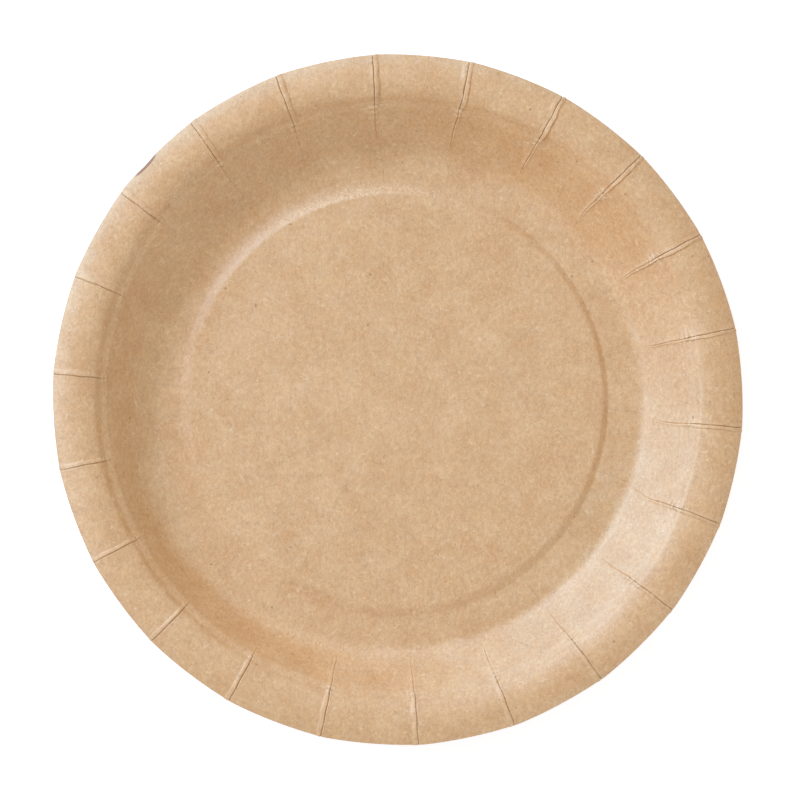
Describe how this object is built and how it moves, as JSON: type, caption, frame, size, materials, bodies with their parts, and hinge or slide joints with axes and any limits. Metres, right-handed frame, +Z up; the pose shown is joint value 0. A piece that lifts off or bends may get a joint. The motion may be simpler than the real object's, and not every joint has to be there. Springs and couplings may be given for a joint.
{
  "type": "paper plate",
  "caption": "Round disposable plate pressed from one sheet of kraft board, with a pleated wall and rim and a raised centre panel, for serving food.",
  "frame": {"origin": "on the plate's axis, at the level it stands on", "axes": "+Z up along the plate's axis, out of its open side; +X and +Y along any two perpendicular diameters"},
  "size_m": [0.1794, 0.1798, 0.015],
  "materials": {
    "kraft_board": "matt, uncoated"
  },
  "bodies": {
    "root": {"plate": "kraft_board"}
  },
  "joints": []
}
